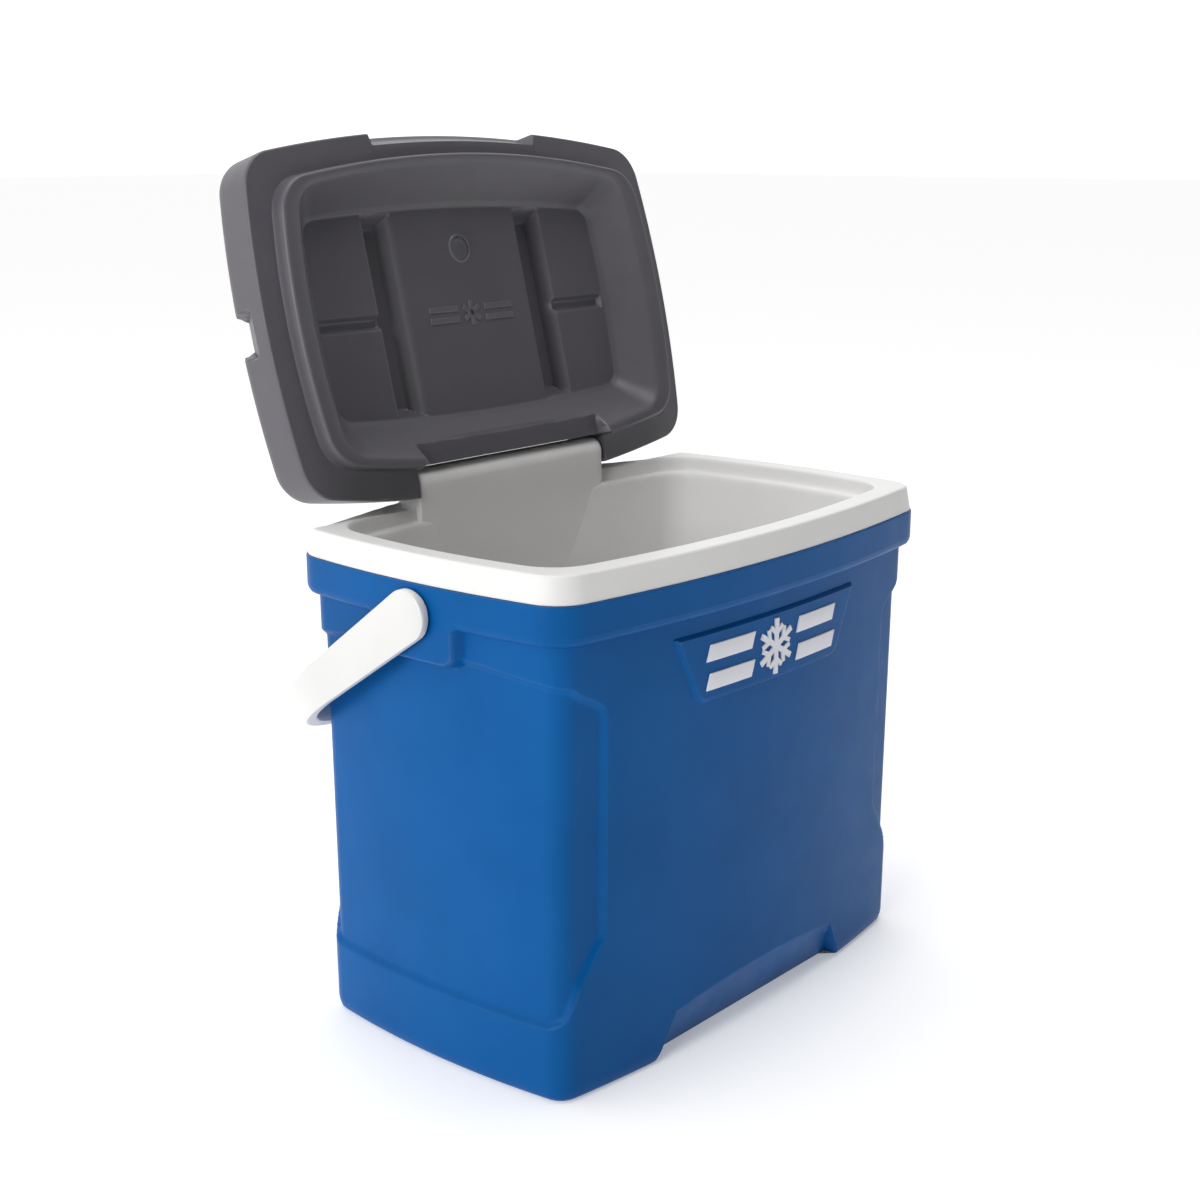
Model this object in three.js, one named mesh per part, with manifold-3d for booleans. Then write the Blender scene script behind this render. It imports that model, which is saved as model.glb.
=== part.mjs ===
// Thirty-quart cooler chest with a hinged double-wall lid and a swing-over bail handle.
// Millimetres, +Z up, floor at z = 0, length along X, hinge side towards +Y, badge side towards -Y.
import * as THREE from "three";
import { ConvexGeometry } from "three/addons/geometries/ConvexGeometry.js";
import { mergeVertices } from "three/addons/utils/BufferGeometryUtils.js";
import Module from "manifold-3d";

const wasm = await Module(); // used only to join and cut solids
wasm.setup();

// ---- driving dimensions -------------------------------------------------------------------------
const GAP = 0.3; // clearance left between neighbouring pieces

// Plan of the collar: a rectangle whose four sides bow outwards, with filleted corners.
const COLLAR = { halfL: 219, halfW: 128.2, bowX: 11, bowY: 20, corner: 31 };
const TUB = { halfL: 197, halfW: 106.2, bowX: 10.5, bowY: 19, corner: 34 };
const DISH_MOUTH = { halfL: 180, halfW: 98, bowX: 10, bowY: 18, corner: 25 };
const DISH_FLOOR = { halfL: 159, halfW: 76, bowX: 4, bowY: 6.5, corner: 14 };
const DISH_FLOOR_Y = -3.5; // the dish floor sits a little towards the grip side

const BODY_Z = { chamferTop: 11.5, collarBottom: 331, collarTop: 359 };
const INSET = { contact: 15.5, base: 11.4, band: 8.5 }; // of the shell faces, from the collar plan
const WALL = 3; // shell, liner and lid skin
const PANEL_DEPTH = 3.8; // end panels, sunk into the end faces and round the corners
const PAD_PROUD = 3; // badge pad on the front face
const COVE = { topX: 96, footX: 122, top: 44, depth: 21 }; // finger cove under the long sides

const RIM = { bottom: BODY_Z.collarTop + GAP, top: 378.5, insetBottom: 1.2, insetTop: 4.8 };
const TUB_FLOOR = 42;
const TUB_LEDGE = { z: 366, width: 5 };
const TUB_DRAFT = 14;
const FLANGE_INSET = 5.8; // inner face of the rim's outer wall

const HINGE = { y: 126.6, z: 392.6, openDeg: 104 };
// White hinge block, rounded about the hinge axis; its core opens downwards behind the tub wall.
const BLOCK = { halfX: 106.5, radius: 12.3, coreX: 80, coreFront: 130, coreRear: 137 };
const PIN = { radius: 4, inner: 92, outer: 126 };
const TROUGH_R = 18.8; // rim relief swept by the lid's rear edge

const LID_Z = RIM.top + GAP; // height of the closed lid's skirt edge
const LID = { inset: 5.5, wallH: 28, round: 12, crown: 4, corner: 36 };
const NOTCH = { halfX: 109, front: HINGE.y - 12.8 }; // rear cut-out that clears the hinge block
const LIP = { inset: 2.7, depth: 12 }; // plug lip round the underside, inset from the tub plan
const DISH_DEPTH = 18;
const CHANNEL = { x0: 68.5, x1: 100, y0: -82, y1: 77, depth: 15, innerSlope: 10, outerSlope: 3.5 };
const GRIP_NOTCH = { halfX: 93, setback: 9.5, height: 19 };
const PLUG = { y: -52, radius: 9.5, hole: 8 };

const BAIL = {
  pivotY: -2,
  pivotZ: 337,
  hangDeg: 35.6,
  hubR: 18.5,
  endHalf: 14.2,
  reach: 197,
  cornerR: 84,
  armIn: 231.6,
  armT: 6,
  gripT: 11,
  skin: 3,
  stubR: 8,
};

const SEGS = { side: 18, end: 10, corner: 6 };

// ---- three.js geometry as solids that can be joined and cut ---------------------------------------
function solidOf(geometry) {
  const bare = new THREE.BufferGeometry().setAttribute("position", geometry.getAttribute("position"));
  if (geometry.index) bare.setIndex(geometry.index);
  const merged = mergeVertices(bare, 1e-4);
  return new wasm.Manifold(
    new wasm.Mesh({
      numProp: 3,
      vertProperties: new Float32Array(merged.attributes.position.array),
      triVerts: new Uint32Array(merged.index.array),
    }),
  );
}

function geometryOf(solid) {
  const mesh = solid.getMesh();
  const geometry = new THREE.BufferGeometry();
  geometry.setAttribute("position", new THREE.BufferAttribute(mesh.vertProperties, 3));
  return geometry.setIndex(new THREE.BufferAttribute(mesh.triVerts, 1));
}

function mirrored(solid, axis) {
  const geometry = geometryOf(solid);
  geometry.scale(axis === "x" ? -1 : 1, axis === "y" ? -1 : 1, 1);
  const index = geometry.index.array;
  for (let i = 0; i < index.length; i += 3) [index[i + 1], index[i + 2]] = [index[i + 2], index[i + 1]];
  return solidOf(geometry);
}

const join = (solids) => solids.reduce((a, b) => a.add(b));
const both = (solid) => solid.add(mirrored(solid, "x"));

function box(x0, x1, y0, y1, z0, z1) {
  const block = new THREE.BoxGeometry(x1 - x0, y1 - y0, z1 - z0);
  return solidOf(block.translate((x0 + x1) / 2, (y0 + y1) / 2, (z0 + z1) / 2));
}

function cylX(r, x0, x1, y, z, n = 48) {
  const rod = new THREE.CylinderGeometry(r, r, x1 - x0, n).rotateZ(Math.PI / 2);
  return solidOf(rod.translate((x0 + x1) / 2, y, z));
}

function cylZ(r, y, z0, z1, n = 32) {
  const rod = new THREE.CylinderGeometry(r, r, z1 - z0, n).rotateX(Math.PI / 2);
  return solidOf(rod.translate(0, y, (z0 + z1) / 2));
}

const extruded = (pts, depth) =>
  new THREE.ExtrudeGeometry(new THREE.Shape(pts.map(([u, v]) => new THREE.Vector2(u, v))), {
    depth,
    bevelEnabled: false,
  });

// Polygon [[x, z], ...] extruded along Y, [[y, z], ...] along X, and [[x, y], ...] along Z.
const prismY = (pts, y0, y1) => solidOf(extruded(pts, y1 - y0).rotateX(Math.PI / 2).translate(0, y1, 0));
const prismX = (pts, x0, x1) =>
  solidOf(extruded(pts, x1 - x0).rotateX(Math.PI / 2).rotateZ(Math.PI / 2).translate(x0, 0, 0));
const prismZ = (pts, z0, z1) => solidOf(extruded(pts, z1 - z0).translate(0, 0, z0));

const hullOf = (...rings) => solidOf(new ConvexGeometry(rings.flat().map((p) => new THREE.Vector3(...p))));

// Arc points about (u, v), angles in degrees.
const arcPts = (u, v, r, a0, a1, n) =>
  Array.from({ length: n + 1 }, (_, i) => {
    const t = THREE.MathUtils.degToRad(a0 + ((a1 - a0) * i) / n);
    return [u + r * Math.cos(t), v + r * Math.sin(t)];
  });

// ---- plan outlines ------------------------------------------------------------------------------
// Centre of the fillet that touches two arcs from inside, in the quarter towards +X and -Y.
function filletCentre(long, end, corner) {
  const dx = end.x - long.x;
  const dy = end.y - long.y;
  const d = Math.hypot(dx, dy);
  const along = (d * d + (long.r - corner) ** 2 - (end.r - corner) ** 2) / (2 * d);
  const off = Math.sqrt((long.r - corner) ** 2 - along * along);
  const at = (side) => ({
    x: long.x + (along * dx + side * off * dy) / d,
    y: long.y + (along * dy - side * off * dx) / d,
  });
  return at(1).y < at(-1).y ? at(1) : at(-1);
}

// Points of a bowed rectangle with outward normals, counter-clockwise from the -Y side.
function bowedPlan({ halfL, halfW, bowX, bowY, corner }) {
  const longR = (halfL ** 2 + bowY ** 2) / (2 * bowY);
  const endR = (halfW ** 2 + bowX ** 2) / (2 * bowX);
  const long = { x: 0, y: longR - halfW - bowY, r: longR };
  const end = { x: halfL + bowX - endR, y: 0, r: endR };
  const fillet = { ...filletCentre(long, end, corner), r: corner };
  const t1 = Math.atan2(fillet.y - long.y, fillet.x - long.x);
  const t2 = Math.atan2(fillet.y - end.y, fillet.x - end.x);
  const arc = (c, from, to, n) =>
    Array.from({ length: n }, (_, i) => {
      const t = from + ((to - from) * i) / n;
      return { x: c.x + c.r * Math.cos(t), y: c.y + c.r * Math.sin(t), nx: Math.cos(t), ny: Math.sin(t) };
    });
  const quarter = [
    ...arc(long, -Math.PI / 2, t1, SEGS.side / 2),
    ...arc(fillet, t1, t2, SEGS.corner),
    ...arc(end, t2, 0, SEGS.end / 2),
    { x: halfL + bowX, y: 0, nx: 1, ny: 0 },
  ];
  const turned = (p, sx, sy) => ({ x: sx * p.x, y: sy * p.y, nx: sx * p.nx, ny: sy * p.ny });
  const back = quarter.slice(0, -1).reverse();
  return [
    ...quarter,
    ...back.map((p) => turned(p, 1, -1)),
    ...quarter.slice(1).map((p) => turned(p, -1, -1)),
    ...back.slice(0, -1).map((p) => turned(p, -1, 1)),
  ];
}

const COLLAR_PLAN = bowedPlan(COLLAR);
const TUB_PLAN = bowedPlan(TUB);
const LID_PLAN = bowedPlan({ ...COLLAR, corner: LID.corner });

const ring = (plan, { z, inset = 0, scale = 1 }) =>
  plan.map((p) => [(p.x - inset * p.nx) * scale, (p.y - inset * p.ny) * scale, z]);

// Solid through a stack of levels {z, inset, scale}, lowest first, closed by a fan at each end.
function loft(plan, levels) {
  const n = plan.length;
  const top = (levels.length - 1) * n;
  const low = levels.length * n;
  const pts = [...levels.flatMap((l) => ring(plan, l)), [0, 0, levels[0].z], [0, 0, levels.at(-1).z]];
  const index = [];
  for (let i = 0; i < n; i++) {
    const j = (i + 1) % n;
    for (let at = 0; at < top; at += n)
      index.push(at + i, at + j, at + n + j, at + i, at + n + j, at + n + i);
    index.push(low, j, i, low + 1, top + i, top + j);
  }
  const geometry = new THREE.BufferGeometry();
  geometry.setAttribute("position", new THREE.Float32BufferAttribute(pts.flat(), 3));
  return solidOf(geometry.setIndex(index));
}

// ---- body ---------------------------------------------------------------------------------------
const bodyInset = (z) => INSET.base + ((INSET.band - INSET.base) * (z - BODY_Z.chamferTop)) / 320;

// Side faces between two heights, moved inwards by `extra`.
const bodySlab = (z0, z1, extra) =>
  loft(COLLAR_PLAN, [
    { z: z0, inset: bodyInset(z0) + extra },
    { z: z1, inset: bodyInset(z1) + extra },
  ]);

function endPanelRegion() {
  const edge = 172; // the panel runs round each corner to this x on the long faces
  const right = [
    [300, 55],
    [300, 310],
    [228, 310],
    [205, 301],
    [edge + 10, 289],
    ...arcPts(edge + 12, 276, 12, 110, 180, 4),
    [edge, 122],
    ...arcPts(edge + 12, 120, 12, 190, 225, 3),
    [212, 60],
    [222, 55],
  ];
  return both(prismY(right, -200, 200));
}

function badgePad() {
  const trapezoid = [
    [-112, 318],
    ...arcPts(-78, 279, 13, 200, 270, 4),
    ...arcPts(78, 279, 13, 270, 340, 4),
    [112, 318],
  ];
  return bodySlab(255, 325, -PAD_PROUD).intersect(prismY(trapezoid, -200, 0));
}

// Cove cut under both long sides, `grow` thicker when it is used to keep other solids away from it.
function coves(grow) {
  const y = COLLAR.halfW + COLLAR.bowY - INSET.base;
  const profile = [
    [-y - 20, -20],
    [-y + COVE.depth + grow, -20],
    [-y + COVE.depth + grow, 0],
    [-y + grow, COVE.top + grow],
    [-y - 20, COVE.top + grow],
  ];
  const splay = (COVE.footX - COVE.topX) / COVE.top;
  const halfAt = (z) => COVE.footX + grow - splay * z;
  const outline = [
    [-halfAt(-20), -20],
    [halfAt(-20), -20],
    [halfAt(COVE.top + 10), COVE.top + 10],
    [-halfAt(COVE.top + 10), COVE.top + 10],
  ];
  const front = prismX(profile, -200, 200).intersect(prismY(outline, -200, 0));
  return front.add(mirrored(front, "y"));
}

function pivotBoss() {
  const flat = [
    [-43, 345],
    ...arcPts(-29, 315, 14, 180, 270, 5),
    ...arcPts(29, 315, 14, 270, 360, 5),
    [43, 345],
  ];
  const slab = loft(COLLAR_PLAN, [{ z: 295, inset: 0.15 }, { z: 340, inset: 0.15 }]);
  return slab.intersect(prismX(flat, -300, 300));
}

const shellInside = (gap) =>
  loft(COLLAR_PLAN, [
    { z: WALL + gap, inset: 19.2 + gap },
    { z: 14, inset: 18 + gap },
    { z: 298, inset: 15.8 + gap },
    { z: 330, inset: 11.8 + gap },
    { z: 336, inset: WALL + gap },
    { z: BODY_Z.collarTop + 1, inset: WALL + gap },
  ]).subtract(coves(WALL + gap));

const bailBores = (r, x0, x1) => both(cylX(r, x0, x1, BAIL.pivotY, BAIL.pivotZ, 40));

function outerShell() {
  const skin = loft(COLLAR_PLAN, [
    { z: 0, inset: INSET.contact },
    { z: 3, inset: INSET.contact - 2.4 },
    { z: 7, inset: INSET.base + 0.4 },
    { z: BODY_Z.chamferTop, inset: INSET.base },
    { z: BODY_Z.collarBottom - 0.8, inset: INSET.band },
    { z: BODY_Z.collarBottom, inset: 5 },
    { z: BODY_Z.collarBottom + 1.2, inset: 2.2 },
    { z: BODY_Z.collarBottom + 3.4, inset: 0.7 },
    { z: BODY_Z.collarBottom + 6.5, inset: 0 },
    { z: BODY_Z.collarTop, inset: 0 },
  ]);
  const panels = bodySlab(20, 325, -10).subtract(bodySlab(19, 326, PANEL_DEPTH)).intersect(endPanelRegion());
  return skin
    .subtract(panels)
    .add(badgePad())
    .add(pivotBoss())
    .subtract(coves(0))
    .subtract(shellInside(0))
    .subtract(bailBores(BAIL.stubR + 0.4, 200, 240))
    .subtract(badgePockets());
}

// ---- badge --------------------------------------------------------------------------------------
const BADGE_Z = 291.5;
const SIDE_BARS = [
  ["badge_bar_left_upper", -53, BADGE_Z + 10.5],
  ["badge_bar_left_lower", -53, BADGE_Z - 10.5],
  ["badge_bar_right_upper", 53, BADGE_Z + 10.5],
  ["badge_bar_right_lower", 53, BADGE_Z - 10.5],
];

// Six-armed flake, as one solid that runs along Y through the pad.
function flakeBar(w, l, grow, at, deg) {
  const bar = new THREE.BoxGeometry(w + 2 * grow, 200, l + 2 * grow).translate(0, -100, at);
  return bar.rotateY(THREE.MathUtils.degToRad(deg));
}

function flake(grow) {
  const twig = join([
    solidOf(flakeBar(4.4, 42, grow, 0, 0)),
    solidOf(flakeBar(3.4, 9, grow, 4.5, 52).translate(0, 0, 9.5)),
    solidOf(flakeBar(3.4, 9, grow, 4.5, -52).translate(0, 0, 9.5)),
  ]);
  const arms = [0, 60, 120, 180, 240, 300].map((deg) =>
    solidOf(geometryOf(twig).rotateY(THREE.MathUtils.degToRad(deg)).translate(0, 0, BADGE_Z)),
  );
  return join(arms);
}

function sideBar(x, z, grow) {
  const w = 25 + grow;
  const h = 6 + grow;
  const slant = 2;
  const outline = [
    [x - w - slant, z - h],
    [x + w - slant, z - h],
    [x + w + slant, z + h],
    [x - w + slant, z + h],
  ];
  return prismY(outline, -200, 0);
}

// Piece standing in its pocket on the pad.
const badgePiece = (column) =>
  bodySlab(255, 325, -PAD_PROUD - 1.2).subtract(bodySlab(254, 326, -PAD_PROUD + 0.7)).intersect(column);

const badgePockets = () =>
  join([flake(GAP), ...SIDE_BARS.map(([, x, z]) => sideBar(x, z, GAP))]).subtract(
    bodySlab(250, 330, -PAD_PROUD + 1),
  );

// ---- liner and foam -----------------------------------------------------------------------------
const tubLevels = (out) => [
  { z: TUB_FLOOR - (out ? WALL + out : 0), inset: TUB_LEDGE.width + TUB_DRAFT + 4 - out },
  { z: TUB_FLOOR + 6 - out, inset: TUB_LEDGE.width + TUB_DRAFT - out },
  { z: TUB_LEDGE.z - 3, inset: TUB_LEDGE.width + 1.5 - out },
  { z: TUB_LEDGE.z - out, inset: TUB_LEDGE.width - out },
  { z: TUB_LEDGE.z - out, inset: 0.8 - out },
  { z: RIM.top - 2, inset: 0.2 - out },
];

const tubInside = () => loft(TUB_PLAN, [...tubLevels(0), { z: RIM.top + 1, inset: -1.4 }]);

const tubOutside = (gap) => loft(TUB_PLAN, tubLevels(2.6 + gap));

function hingeBlock(r, x) {
  const tilt = HINGE.openDeg - 90; // the stop face lies against the open lid
  const rear = HINGE.y + 13.6;
  const t = THREE.MathUtils.degToRad(tilt);
  const stopZ = HINGE.z + (r - 13.6 * Math.sin(t)) / Math.cos(t);
  const profile = [
    [HINGE.y - r, RIM.top - 6],
    [rear, RIM.top - 6],
    [rear, stopZ],
    ...arcPts(HINGE.y, HINGE.z, r, 90 - tilt, 180, 10),
  ];
  return prismX(profile, -x, x);
}

// The hinge block's front face carried down until the tub's sloping rear wall meets it.
const blockApron = () =>
  box(-BLOCK.halfX, BLOCK.halfX, HINGE.y - BLOCK.radius, 135, 240, RIM.top + 2).intersect(
    loft(TUB_PLAN, [...tubLevels(2.6), { z: RIM.top + 3, inset: -2.6 }]),
  );

const rimRelief = (r, x0, x1) => both(cylX(r, x0, x1, HINGE.y, HINGE.z, 96));

const pinBores = (r, x0, x1) => both(cylX(r, x0, x1, HINGE.y, HINGE.z, 32));

function innerLiner() {
  const rimSolid = loft(COLLAR_PLAN, [
    { z: RIM.bottom, inset: RIM.insetBottom },
    { z: RIM.top - 2, inset: RIM.insetTop - 0.4 },
    { z: RIM.top - 0.6, inset: RIM.insetTop + 0.4 },
    { z: RIM.top, inset: RIM.insetTop + 1.8 },
  ]);
  const tongue = loft(COLLAR_PLAN, [
    { z: 352, inset: 3.8 },
    { z: RIM.bottom + 1, inset: 3.8 },
  ]);
  const under = loft(COLLAR_PLAN, [
    { z: 350, inset: FLANGE_INSET },
    { z: RIM.top - WALL, inset: FLANGE_INSET + 1.4 },
  ]);
  const thick = rimSolid.intersect(rimRelief(TROUGH_R + WALL, 104, 240));
  const core = hingeBlock(BLOCK.radius - WALL, BLOCK.coreX)
    .intersect(box(-200, 200, 0, BLOCK.coreRear, RIM.top + 4, 420))
    .add(box(-BLOCK.coreX, BLOCK.coreX, BLOCK.coreFront, BLOCK.coreRear, 370, RIM.top + 5));
  return rimSolid
    .add(tongue)
    .subtract(under)
    .add(thick)
    .add(tubOutside(0))
    .add(hingeBlock(BLOCK.radius, BLOCK.halfX))
    .subtract(core)
    .subtract(tubInside())
    .add(blockApron())
    .subtract(rimRelief(TROUGH_R, BLOCK.halfX + 0.8, 240))
    .subtract(pinBores(PIN.radius + GAP, PIN.inner - 0.5, 130));
}

function bodyFoam() {
  const outer = loft(COLLAR_PLAN, [
    { z: WALL + GAP, inset: 19.2 + GAP },
    { z: 14, inset: 18 + GAP },
    { z: 298, inset: 15.8 + GAP },
    { z: 330, inset: 11.8 + GAP },
    { z: 336, inset: FLANGE_INSET + GAP },
    { z: RIM.top - WALL - GAP, inset: FLANGE_INSET + 1.4 + GAP },
  ]);
  return outer
    .subtract(coves(WALL + GAP))
    .subtract(tubOutside(GAP).add(box(-170, 170, -90, 90, 300, 400)))
    .subtract(rimRelief(TROUGH_R + WALL + GAP, 103.7, 240))
    .subtract(box(-108, 108, HINGE.y - BLOCK.radius - GAP, 150, RIM.top - 6.3, 420))
    .subtract(bailBores(BAIL.stubR + 2, 205, 240));
}

// ---- lid, drawn closed --------------------------------------------------------------------------
const lidLevels = (t) => {
  const roundR = LID.round - t;
  const arc = [0, 15, 30, 45, 60, 75, 90].map((deg) => {
    const a = THREE.MathUtils.degToRad(deg);
    return {
      z: LID_Z + LID.wallH + roundR * Math.sin(a),
      inset: LID.inset + 1 + t + roundR * (1 - Math.cos(a)),
    };
  });
  const edge = arc.at(-1);
  const crown = [0.8, 0.55, 0.3].map((s) => ({ ...edge, scale: s, z: edge.z + LID.crown * (1 - s * s) }));
  return [...arc, ...crown];
};

const lidDome = () =>
  loft(LID_PLAN, [
    { z: LID_Z, inset: LID.inset + 1.2 },
    { z: LID_Z + 1.5, inset: LID.inset },
    ...lidLevels(0),
  ]);

const lidHollow = (gap) =>
  loft(LID_PLAN, [{ z: LID_Z + WALL + gap, inset: LID.inset + WALL + gap + 0.6 }, ...lidLevels(WALL + gap)]);

// Frustum between a lower and an upper ring of points.
const dish = (grow) =>
  hullOf(
    ring(bowedPlan(DISH_MOUTH), { z: LID_Z - LIP.depth - 0.6, inset: -grow }),
    ring(bowedPlan(DISH_FLOOR), { z: LID_Z + DISH_DEPTH + grow, inset: -grow }).map(([x, y, z]) => [
      x,
      y + DISH_FLOOR_Y,
      z,
    ]),
  );

function roundRect(x0, x1, y0, y1, r, z) {
  const corner = (u, v, a) => arcPts(u, v, r, a, a + 90, 3);
  return [
    ...corner(x1 - r, y1 - r, 0),
    ...corner(x0 + r, y1 - r, 90),
    ...corner(x0 + r, y0 + r, 180),
    ...corner(x1 - r, y0 + r, 270),
  ].map(([x, y]) => [x, y, z]);
}

function channels(grow) {
  const { x0, x1, y0, y1, depth, innerSlope, outerSlope } = CHANNEL;
  const z = LID_Z + DISH_DEPTH;
  const mouth = roundRect(x0 - grow, x1 + grow, y0 - grow, y1 + grow, 5, z - 1);
  const floor = roundRect(
    x0 + innerSlope - grow,
    x1 - outerSlope + grow,
    y0 + 10 - grow,
    y1 - 10 + grow,
    5,
    z + depth + grow,
  );
  return both(hullOf(mouth, floor));
}

// Shallow cross groove over each side pad of the dish floor.
function crossGrooves() {
  const z = LID_Z + DISH_DEPTH;
  const profile = [
    [-5, z - 2],
    [7, z - 2],
    [6, z],
    [3, z + 5],
    [-1, z + 5],
    [-5, z],
  ];
  return both(prismX(profile, CHANNEL.x1 - 2, 163));
}

function gripNotch(grow) {
  const { halfX, setback, height } = GRIP_NOTCH;
  const keep = loft(LID_PLAN, [
    { z: LID_Z - 1 - grow, inset: LID.inset + setback + grow },
    { z: LID_Z, inset: LID.inset + setback + grow },
    { z: LID_Z + height - 3, inset: LID.inset + 4 + grow },
    { z: LID_Z + height + grow, inset: LID.inset + grow - 1 },
  ]);
  const slab = loft(LID_PLAN, [
    { z: LID_Z - 0.9 - grow, inset: -5 },
    { z: LID_Z + height + grow - 0.1, inset: -5 },
  ]);
  const w = halfX + grow;
  const wedge = hullOf(
    ...[LID_Z - 10, LID_Z + height + 10].map((z) => [
      [-w, -160, z],
      [w, -160, z],
      [w - 3, -110, z],
      [-w + 3, -110, z],
    ]),
  );
  return slab.subtract(keep).intersect(wedge);
}

// Pockets in the end walls that the raised bail's arms pass.
function sideNotches(grow) {
  const x = COLLAR.halfL + COLLAR.bowX;
  const face = (half, at, z) => [
    [at, -half - grow, z],
    [at, half + grow, z],
  ];
  return both(
    hullOf(
      face(18, x + 5, LID_Z + 13 - grow),
      face(18, x + 5, LID_Z + 60),
      face(14, x - 6, LID_Z + 14 - grow),
      face(14, x - 26 - grow, LID_Z + 44 - grow),
      face(14, x - 26 - grow, LID_Z + 60),
    ),
  );
}

const hingeNotch = (grow) => box(-NOTCH.halfX - grow, NOTCH.halfX + grow, NOTCH.front - grow, 160, 360, 440);

// Raised generic mark on the centre pad of the dish floor.
function lidMark() {
  const z = LID_Z + DISH_DEPTH;
  const bar = (x, y) => box(x - 16, x + 16, y - 2.4, y + 2.4, z - 0.9, z + 1);
  const post = geometryOf(box(-2, 2, -10, 10, z - 0.9, z + 1));
  const spokes = [0, 60, 120].map((deg) => solidOf(post.clone().rotateZ(THREE.MathUtils.degToRad(deg))));
  return join([...spokes, bar(-31, -4.4), bar(-31, 4.4), bar(31, -4.4), bar(31, 4.4)]);
}

const plugHole = (r, z0, z1) => cylZ(r, PLUG.y, z0, z1);

function lidShell() {
  const lip = loft(TUB_PLAN, [
    { z: LID_Z - LIP.depth, inset: LIP.inset + 2.2 },
    { z: LID_Z - LIP.depth + 1.5, inset: LIP.inset + 0.9 },
    { z: LID_Z + 1, inset: LIP.inset },
  ]);
  const rearFlat = box(-105, 105, 97, NOTCH.front, LID_Z, LID_Z + 20);
  const floorZ = LID_Z + DISH_DEPTH;
  return lidDome()
    .add(lip)
    .subtract(dish(0))
    .subtract(box(-105, 105, 97, 160, LID_Z - 20, LID_Z))
    .add(rearFlat)
    .subtract(channels(0))
    .subtract(crossGrooves())
    .add(lidMark())
    .subtract(gripNotch(0))
    .subtract(sideNotches(0))
    .subtract(hingeNotch(0))
    .subtract(lidCavity(0))
    .subtract(pinBores(PIN.radius + GAP, 100, PIN.outer + 0.5))
    .subtract(plugHole(PLUG.radius + GAP, floorZ - 1, floorZ + 1.5))
    .subtract(plugHole(PLUG.hole, floorZ, floorZ + 6));
}

function lidCavity(gap) {
  return lidHollow(gap)
    .subtract(dish(WALL + gap))
    .subtract(channels(WALL + gap))
    .subtract(both(box(95, 166, -9 - gap, 11 + gap, LID_Z, LID_Z + DISH_DEPTH + 8 + gap)))
    .subtract(gripNotch(WALL + gap))
    .subtract(sideNotches(WALL + gap))
    .subtract(hingeNotch(WALL + gap))
    .subtract(box(-250, 250, 94 - gap, 160, LID_Z - 20, LID_Z + 21.5 + gap));
}

const lidPlug = () => {
  const floorZ = LID_Z + DISH_DEPTH;
  return plugHole(PLUG.radius, floorZ - 0.3, floorZ + 1.2).add(plugHole(PLUG.hole - GAP, floorZ, floorZ + WALL - 0.5));
};

// ---- bail handle, drawn level and pointing to +Y from its pivot -----------------------------------
function bailHandle() {
  const { hubR, endHalf, reach, cornerR, armIn, armT, gripT, skin, stubR } = BAIL;
  const outX = armIn + armT;
  const uShape = (x, y, r, y0) => [
    [-x, y0],
    [x, y0],
    ...arcPts(x - r, y - r, r, 0, 90, 10),
    ...arcPts(-x + r, y - r, r, 90, 180, 10),
  ];
  const slab = (pts, h) => prismZ(pts, -h, h);
  const outside = uShape(outX, reach, cornerR, 0);
  const inside = uShape(armIn, reach - gripT, cornerR - armT, -1);
  const hollow = uShape(outX - skin, reach - skin, cornerR - skin, 60);
  const strap = slab(outside, hubR).subtract(slab(inside, hubR + 1));
  const edge = (y) => hubR + ((endHalf - hubR) * y) / (reach * 0.8);
  const taper = (grow) =>
    prismX(
      [
        [0, -edge(0) + grow],
        [reach + 5, -edge(reach) + grow],
        [reach + 5, edge(reach) - grow],
        [0, edge(0) - grow],
      ],
      -outX - 5,
      outX + 5,
    );
  const hub = cylX(hubR, armIn, outX, 0, 0, 48).add(cylX(stubR, 221, armIn + 1, 0, 0, 40));
  return strap
    .intersect(taper(0))
    .subtract(slab(hollow, hubR).intersect(taper(skin)))
    .add(both(hub));
}

// ---- assembly -----------------------------------------------------------------------------------
const paint = (color, roughness) => new THREE.MeshStandardMaterial({ color, roughness, metalness: 0 });
const BLUE = paint(0x0a5fa8, 0.35);
const WHITE = paint(0xe8e6e3, 0.4);
const GREY = paint(0x48464b, 0.45);
const FOAM = paint(0xe9d9a0, 0.95);
const NYLON = paint(0x9aa0a6, 0.5);

function node(name, solid, material) {
  const mesh = new THREE.Mesh(geometryOf(solid), material);
  mesh.name = name;
  return mesh;
}

// Puts contents drawn about the origin at (y, z), turned back about an axis along X.
function turnedBack(y, z, degrees, contents) {
  const turned = new THREE.Group();
  turned.position.set(0, y, z);
  turned.rotation.x = -THREE.MathUtils.degToRad(degrees);
  return turned.add(contents);
}

const pin = cylX(PIN.radius, PIN.inner, PIN.outer, HINGE.y, HINGE.z, 32);

const body = [
  node("outer_shell", outerShell(), BLUE),
  node("inner_liner", innerLiner(), WHITE),
  node("body_foam", bodyFoam(), FOAM),
  node("hinge_pin_right", pin, NYLON),
  node("hinge_pin_left", mirrored(pin, "x"), NYLON),
  node("badge_flake", badgePiece(flake(0)), WHITE),
  ...SIDE_BARS.map(([name, x, z]) => node(name, badgePiece(sideBar(x, z, 0)), WHITE)),
];

const closedLid = new THREE.Group();
closedLid.position.set(0, -HINGE.y, -HINGE.z);
closedLid.add(
  node("lid_shell", lidShell(), GREY),
  node("lid_foam", lidCavity(GAP), FOAM),
  node("lid_fill_plug", lidPlug(), GREY),
);
const lid = turnedBack(HINGE.y, HINGE.z, HINGE.openDeg, closedLid);

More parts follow.
